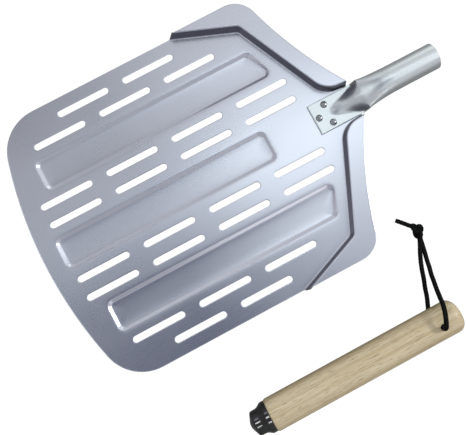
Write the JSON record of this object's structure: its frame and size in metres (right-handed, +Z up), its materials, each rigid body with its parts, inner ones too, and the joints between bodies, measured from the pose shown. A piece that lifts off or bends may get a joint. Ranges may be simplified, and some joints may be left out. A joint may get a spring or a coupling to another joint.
{
  "type": "pizza peel",
  "caption": "Short perforated pizza peel: ribbed metal blade with raised rear flanges and a riveted tube socket, and a loose wooden handle with a plug-in ferrule and cord loop.",
  "frame": {"origin": "on the resting plane under the middle rib, on the blade's centreline, 150 mm behind the front edge", "axes": "+X along the tube, out of its open end; +Y to the side away from the loose handle; +Z up"},
  "size_m": [0.4645, 0.415, 0.0503],
  "materials": {
    "blade_metal": "satin anodised, pressed sheet",
    "tube_metal": "brushed along the tube",
    "rivet_metal": "polished domed heads",
    "ferrule_metal": "glossy black",
    "grip_wood": "smooth bare light wood with fine straight grain",
    "cord_fabric": "matte black braided cord"
  },
  "bodies": {
    "peel": {"blade": "blade_metal", "socket_tube": "tube_metal", "rivet_front": "rivet_metal", "rivet_left": "rivet_metal", "rivet_right": "rivet_metal"},
    "handle": {"wood_grip": "grip_wood", "ferrule": "ferrule_metal", "lanyard_cord": "cord_fabric", "lanyard_knot": "cord_fabric"}
  },
  "joints": [
    {"name": "handle_carry", "type": "slide", "parent": "peel", "child": "handle", "axis": [0.9285, 0.3714, 0], "range_m": [0, 0.6597]}
  ]
}
